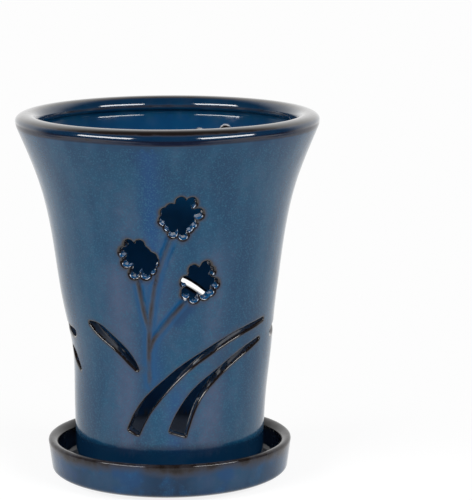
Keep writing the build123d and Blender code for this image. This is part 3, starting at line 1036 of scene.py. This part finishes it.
def saucer_coat(board, place):
    """How the saucer's glaze lies.

    It is thin over the rim and dark underneath. Painted shade darkens the middle of the front, and a
    painted sheen makes it greyer inside and at the flanks, and paler inside.
    """
    height = board.axis(place, "Z") / MM
    aside = board.node("ShaderNodeMath", {"operation": "ABSOLUTE"}, {0: board.axis(place, "X") / MM})
    on_table = board.node("ShaderNodeVectorMath", {"operation": "MULTIPLY"}, {0: place, 1: (1.0, 1.0, 0.0)})
    from_wall = board.length(on_table) / MM - (SAUCER_RADIUS - SAUCER_WALL)
    # Painted sheen inside, between the pot and the rim
    inside = (1 - board.smooth(from_wall, *SAUCER_SHEEN_INSIDE)) * board.smooth(height, *SAUCER_ABOVE)
    # Painted shade in the middle of the front, and painted sheen at the flanks
    middle = 1 - board.smooth(aside, *SAUCER_SHADED_MIDDLE)
    flanks = (1 - middle) * (1 - board.smooth(aside, *SAUCER_FLANKS))
    uneven = board.noise(place, UNEVEN_SCALE, 2.0)
    clouds = board.noise(place, CLOUD_SCALE, 3.0)
    to_rim = height - SAUCER_HEIGHT
    low = 1 - board.smooth(height + uneven * 8.0, *SAUCER_FOOT_DARK)
    return {
        "thin": board.smooth(to_rim + uneven * 6.0 - flanks * 1.2, *SAUCER_RIM_THIN) * 0.86,
        "pool": board.smooth(clouds, 0.5, 0.7) * 0.4,
        "pale": inside * clouds * 0.08,
        "inner": 0.0,
        "dark": 0.25 + middle * 0.45 - flanks * 0.1 + low * 0.4,
        "ink": 0.0,
        "grey": board.smooth(uneven, 0.52, 0.62) * 0.1 + flanks * 0.25 + inside * 0.2,
        "blue": (1 - board.smooth(uneven, 0.36, 0.48)) * 0.6,
        "specks": board.smooth(clouds, 0.46, 0.66) * 0.6,
        "gloss": 0.0,
        "ior": SAUCER_IOR}


def new_object(name, data):
    made = bpy.data.objects.new(name, data)
    bpy.context.scene.collection.objects.link(made)
    return made


def sized_tree(name, sizes):
    """A geometry node tree with named inputs: its board, a wire from each input, and the values to set."""
    tree = bpy.data.node_groups.new(name, "GeometryNodeTree")
    board = Board(tree)
    tree.interface.new_socket("Geometry", in_out="OUTPUT", socket_type="NodeSocketGeometry")
    values = {}
    for label, kind, value in sizes:
        socket = tree.interface.new_socket(label, in_out="INPUT", socket_type=kind)
        if value is not None:
            values[socket.identifier] = value
    return board, [board.node("NodeGroupInput", {}, {}, out=i) for i in range(len(sizes))], values


def run_tree(holder, board, shape, finish, values):
    """Ends a tree with its material, runs it on an object and keeps the result as its plain mesh."""
    whole = board.node("GeometryNodeRealizeInstances", {}, {"Geometry": shape})
    done = board.node("GeometryNodeSetMaterial", {}, {"Geometry": whole, "Material": finish})
    board.node("NodeGroupOutput", {}, {0: done})
    modifier = holder.modifiers.new(board.tree.name, "NODES")
    modifier.node_group = board.tree
    for identifier, value in values.items():
        modifier[identifier] = value
    evaluated = holder.evaluated_get(bpy.context.evaluated_depsgraph_get())
    mesh = bpy.data.meshes.new_from_object(evaluated)
    holder.modifiers.remove(modifier)
    holder.data = mesh
    mesh.name = holder.name
    return holder


def raised_stems(target, lines_of_stems, material):
    """Raises each stem on a piece as a ridge with a groove on both sides, and keeps where they lie."""
    board, wires, values = sized_tree("raised_stems", [
        ("Body", "NodeSocketGeometry", None), ("Stems", "NodeSocketObject", lines_of_stems),
        ("Height", "NodeSocketFloat", STEM_HEIGHT), ("Half Width", "NodeSocketFloat", STEM_HALF_WIDTH),
        ("Groove", "NodeSocketFloat", STEM_GROOVE), ("Reach", "NodeSocketFloat", STEM_REACH),
        ("Glaze", "NodeSocketMaterial", material)])
    body, stems, height, half_width, groove, reach, finish = wires
    lines = board.node("GeometryNodeObjectInfo", {}, {"Object": stems}, out="Geometry")
    edges = board.node("GeometryNodeCurveToMesh", {}, {"Curve": lines})
    away = board.node("GeometryNodeProximity", {"target_element": "EDGES"}, {0: edges}, out="Distance") / MM
    crest = 1 - board.smooth(away, *[half_width * share for share in STEM_CREST])
    beside = board.smooth(away, *[half_width * share for share in STEM_BESIDE])
    pool = beside * (1 - board.smooth(away, reach * STEM_FADE, reach))
    lift = (crest * height - pool * groove) * MM
    normal = board.node("GeometryNodeInputNormal", {}, {})
    offset = board.node("ShaderNodeVectorMath", {"operation": "SCALE"}, {0: normal, "Scale": lift})
    moved = board.node("GeometryNodeSetPosition", {}, {"Geometry": body, "Offset": offset})
    for name, value in (("stem_crest", crest), ("stem_pool", pool)):
        moved = board.node("GeometryNodeStoreNamedAttribute", {"data_type": "FLOAT", "domain": "POINT"},
                           {"Geometry": moved, "Name": name, "Value": value})
    return run_tree(target, board, moved, finish, values)


def turned_piece(name, profile, material):
    """A closed piece from a profile of radius and height, turned about Z."""
    board, wires, values = sized_tree("turned_piece", [
        ("Profile", "NodeSocketObject", profile), ("Turn Steps", "NodeSocketInt", SAUCER_TURN_STEPS),
        ("Profile Steps", "NodeSocketInt", SAUCER_PROFILE_STEPS),
        ("Glaze", "NodeSocketMaterial", material)])
    line, turns, rows, finish = wires
    outline = board.node("GeometryNodeObjectInfo", {}, {"Object": line}, out="Geometry")
    grid = board.node("GeometryNodeMeshGrid", {}, {"Size X": 1.0, "Size Y": 1.0, "Vertices X": turns,
                                                   "Vertices Y": rows})
    position = board.node("GeometryNodeInputPosition", {}, {})
    turn = board.axis(position, "X") * (2 * pi)
    along = board.axis(position, "Y") + 0.5
    spot = board.node("GeometryNodeSampleCurve", {"mode": "FACTOR"}, {"Curves": outline, "Factor": along},
                      out="Position")
    radius, height = board.axis(spot, "X"), board.axis(spot, "Z")
    sine = board.node("ShaderNodeMath", {"operation": "SINE"}, {0: turn})
    cosine = board.node("ShaderNodeMath", {"operation": "COSINE"}, {0: turn})
    place = board.node("ShaderNodeCombineXYZ", {}, {"X": radius * sine, "Y": radius * cosine * -1.0,
                                                    "Z": height})
    wrapped_grid = board.node("GeometryNodeSetPosition", {}, {"Geometry": grid, "Position": place})
    closed = board.node("GeometryNodeMergeByDistance", {}, {"Geometry": wrapped_grid,
                                                            "Distance": TOGETHER / 2 * MM})
    smooth = board.node("GeometryNodeSetShadeSmooth", {}, {"Geometry": closed})
    return run_tree(new_object(name, bpy.data.meshes.new(name)), board, smooth, finish, values)


def line_object(name, lines):
    """A curve object of straight-run lines through points in millimetres."""
    curve = bpy.data.curves.new(name, "CURVE")
    curve.dimensions = "3D"
    for points in lines:
        spline = curve.splines.new("POLY")
        spline.points.add(len(points) - 1)
        for spot, point in zip(spline.points, points):
            spot.co = (*(np.asarray(point) * MM), 1.0)
    return new_object(name, curve)


def saucer_outline():
    """Profile of the saucer from the middle of its underside, round its rim, to the middle of its floor."""
    rim_soft, bend_soft = SAUCER_RIM_ROUNDING, SAUCER_FLOOR_ROUNDING
    crest_r = SAUCER_RADIUS - rim_soft
    base_r = SAUCER_RADIUS - SAUCER_TAPER - SAUCER_EDGE_WIDTH
    foot_out = base_r - SAUCER_FOOT_STEP
    foot_in = foot_out - SAUCER_FOOT_WIDTH
    inner_r = SAUCER_RADIUS - SAUCER_WALL
    drop_z = SAUCER_HEIGHT - SAUCER_RIM_DROP
    foot, soft = SAUCER_FOOT_HEIGHT, SAUCER_FOOT_EDGE
    flat = np.vstack([
        [(0.0, foot), (foot_in - soft, foot), (foot_in, foot - soft), (foot_in, soft)],
        [(foot_in + soft, 0.0), (foot_out - soft, 0.0), (foot_out, soft), (foot_out, foot - soft)],
        [(foot_out + soft, foot)],
        arc((base_r, foot + SAUCER_EDGE_HEIGHT), SAUCER_EDGE_WIDTH, SAUCER_EDGE_HEIGHT, 270, 360, 17),
        arc((crest_r, SAUCER_HEIGHT - rim_soft), rim_soft, rim_soft, 0, 90, 11),
        arc((crest_r, drop_z), crest_r - inner_r, SAUCER_RIM_DROP, 90, 180, 17)[1:],
        arc((inner_r - bend_soft, SAUCER_FLOOR + bend_soft), bend_soft, bend_soft, 0, -90, 11),
        [(0.0, SAUCER_FLOOR)]])
    return np.column_stack([flat[:, 0], np.zeros(len(flat)), flat[:, 1]])


# The pot
pot_glaze = glaze("pot_glaze", pot_coat)
pot = new_object("glazed_pot", make_pot_mesh())
pot.data.materials.append(pot_glaze)
ridges = [settled(wall_points(line[:, 0], line[:, 1], 0.0)) for line in stem_lines(RIDGE_STEP)]
stem_curves = line_object("stem_lines", ridges)
raised_stems(pot, stem_curves, pot_glaze)
bpy.data.objects.remove(stem_curves)
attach(pot, "pot")
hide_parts("pot")

# The saucer
saucer_glaze = glaze("saucer_glaze", saucer_coat)
saucer_profile = line_object("saucer_profile", [saucer_outline()])
saucer = turned_piece("glazed_saucer", saucer_profile, saucer_glaze)
bpy.data.objects.remove(saucer_profile)
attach(saucer, "saucer")
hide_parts("saucer")

# Camera: where it stands and how it is turned, in millimetres and radians, and its focal length in pixels
IMAGE_LONG_SIDE = 500.0
CAMERA_PLACE = (0.0, -1265.8, 345.6)
CAMERA_YAW = 0.0274
CAMERA_PITCH = 0.1777
CAMERA_ROLL = -0.0022
FOCAL_PIXELS = 2500.5
SENSOR_WIDTH = 36.0


def make_camera():
    data = bpy.data.cameras.new("camera")
    data.sensor_width = SENSOR_WIDTH
    data.lens = FOCAL_PIXELS / IMAGE_LONG_SIDE * SENSOR_WIDTH
    data.clip_start = 0.05
    data.clip_end = 50.0
    camera = new_object("camera", data)
    ahead = Vector((sin(CAMERA_YAW), cos(CAMERA_YAW), -tan(CAMERA_PITCH))).normalized()
    right = ahead.cross(Vector((0, 0, 1))).normalized()
    up = right.cross(ahead)
    turned_right = cos(CAMERA_ROLL) * right + sin(CAMERA_ROLL) * up
    turned_up = cos(CAMERA_ROLL) * up - sin(CAMERA_ROLL) * right
    stand = Matrix((turned_right, turned_up, -ahead)).transposed().to_4x4()
    stand.translation = Vector(CAMERA_PLACE) * MM
    camera.matrix_world = stand
    bpy.context.scene.camera = camera


# Soft boxes: bearing from the front, positive to the right, and height, both in degrees.
# They face the pot's middle line at a share of its height
SOFT_BOX_PLACES = [("soft_box_left", -48.0, 24.0), ("soft_box_right", 45.0, 24.0)]
SOFT_BOX_DISTANCE = 1.15
SOFT_BOX_SIZE = (0.84, 0.32)
SOFT_BOX_WATTS = 12.0
SOFT_BOX_AIM = 0.6


def make_soft_boxes():
    middle = Vector((0.0, 0.0, TOP_Z * MM * SOFT_BOX_AIM))
    for name, bearing, height in SOFT_BOX_PLACES:
        data = bpy.data.lights.new(name, "AREA")
        data.shape = "RECTANGLE"
        data.size, data.size_y = SOFT_BOX_SIZE
        data.energy = SOFT_BOX_WATTS
        box = new_object(name, data)
        out = Vector((sin(radians(bearing)), -cos(radians(bearing)), tan(radians(height)))).normalized()
        box.location = middle + out * SOFT_BOX_DISTANCE
        box.rotation_euler = out.to_track_quat("Z", "Y").to_euler()
        box.visible_camera = False


# Surroundings: a white table and backdrop, with a dark room beyond the table's front edge
TABLE_HALF = 0.5
TABLE_BACK = 4.0
TABLE_FRONT = -0.32
# The table as light falls on it, and as it is seen: its glow, and the part of it that takes shadows
TABLE_PLAIN = 0.85
TABLE_GLOW = 0.85
TABLE_GREY = 0.20
# Metres from the middle at which the table's shading starts to fade and has gone
TABLE_SHADE = (0.09, 0.22)
WHITE = 0.982
ROOM_GREY = 0.03
FILL_LEVEL = 0.20
# Where the backdrop begins towards the rear, and where and how far it darkens overhead
BACKDROP_REAR = (0.1, 0.6)
BACKDROP_OVERHEAD = (0.6, 0.95)
OVERHEAD_DARK = 0.85


def ray(board, kind):
    return board.node("ShaderNodeLightPath", {}, {}, out="Is %s Ray" % kind)


def seen_directly(board):
    """1 for rays from the camera or sent on by gloss or glass, 0 for light that only falls."""
    total = ray(board, "Camera") + ray(board, "Glossy") + ray(board, "Transmission")
    return board.node("ShaderNodeMath", {"operation": "MINIMUM"}, {0: total, 1: 1.0})


def make_table():
    mesh = bpy.data.meshes.new("table")
    corners = [(-TABLE_HALF, TABLE_FRONT, 0), (TABLE_HALF, TABLE_FRONT, 0), (TABLE_HALF, TABLE_BACK, 0),
               (-TABLE_HALF, TABLE_BACK, 0)]
    mesh.from_pydata(corners, [], [(0, 1, 2, 3)])
    material = bpy.data.materials.new("white_table")
    material.use_nodes = True
    board = Board(material.node_tree)
    place = board.node("ShaderNodeTexCoord", {}, {}, out="Object")
    plain = board.node("ShaderNodeBsdfDiffuse", {}, {"Color": grey(TABLE_PLAIN)})
    glow = board.node("ShaderNodeEmission", {}, {"Color": grey(1.0), "Strength": TABLE_GLOW})
    shaded = board.node("ShaderNodeBsdfDiffuse", {}, {"Color": grey(TABLE_GREY)})
    near = board.node("ShaderNodeAddShader", {}, {0: glow, 1: shaded})
    far = board.node("ShaderNodeEmission", {}, {"Color": grey(1.0), "Strength": WHITE})
    away = board.smooth(board.length(place), *TABLE_SHADE)
    bright = board.node("ShaderNodeMixShader", {}, {0: away, 1: near, 2: far})
    surface = board.node("ShaderNodeMixShader", {}, {0: seen_directly(board), 1: plain, 2: bright})
    board.node("ShaderNodeOutputMaterial", {}, {"Surface": surface})
    mesh.materials.append(material)
    new_object("table", mesh)


def make_world():
    world = bpy.data.worlds.new("studio")
    bpy.context.scene.world = world
    world.use_nodes = True
    board = Board(world.node_tree)
    way = board.node("ShaderNodeTexCoord", {}, {}, out="Generated")
    overhead = board.smooth(board.axis(way, "Z"), *BACKDROP_OVERHEAD) * OVERHEAD_DARK
    backdrop = board.smooth(board.axis(way, "Y"), *BACKDROP_REAR) * (1 - overhead)
    room = board.mix(backdrop, grey(ROOM_GREY), grey(WHITE))
    shown = board.mix(ray(board, "Camera"), room, grey(WHITE))
    light = board.mix(seen_directly(board), grey(FILL_LEVEL), shown)
    surface = board.node("ShaderNodeBackground", {}, {"Color": light, "Strength": 1.0})
    board.node("ShaderNodeOutputWorld", {}, {"Surface": surface})


make_camera()
make_soft_boxes()
make_table()
make_world()
bpy.context.scene.view_settings.view_transform = "Standard"
